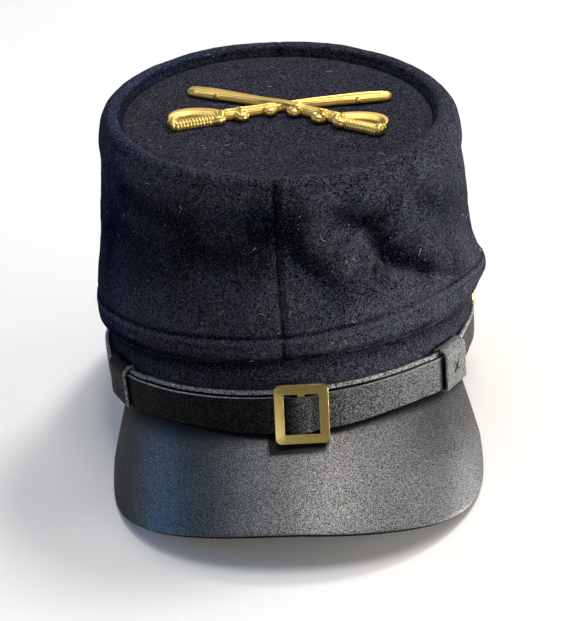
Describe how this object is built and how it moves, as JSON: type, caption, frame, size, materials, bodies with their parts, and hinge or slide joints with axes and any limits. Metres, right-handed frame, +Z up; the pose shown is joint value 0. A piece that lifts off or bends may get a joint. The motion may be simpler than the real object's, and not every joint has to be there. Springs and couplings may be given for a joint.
{
  "type": "kepi cap",
  "caption": "Wool kepi: a high soft crown sloping to an oval recessed top, a curved leather visor, an overlapped chin strap with slide buckle and side buttons, and a crossed-sabre badge.",
  "frame": {"origin": "bottom centre of the cap's box, on the table it rests on", "axes": "-Y is the front with the visor, +X the wearer's left, +Z up; the cap is tipped back by about 11.5 degrees, as it rests on the visor's corners and the back of the band"},
  "size_m": [0.1802, 0.24, 0.1494],
  "materials": {
    "wool": "fulled navy wool cloth, matt with fine fibres",
    "visor_leather": "black leather with a fine grain and a satin sheen",
    "strap_leather": "black leather, matt, with pale raw edges",
    "buckle_brass": "aged brass, dull",
    "badge_brass": "cast brass, bright"
  },
  "bodies": {
    "root": {"crown_right": "wool", "crown_left": "wool", "crown_top": "wool", "band": "wool", "visor": "visor_leather", "strap_front": "strap_leather", "strap_back": "strap_leather", "keeper_right": "strap_leather", "keeper_left": "strap_leather", "buckle": "buckle_brass", "badge": "badge_brass", "button_right": "badge_brass", "button_left": "badge_brass"}
  },
  "joints": []
}
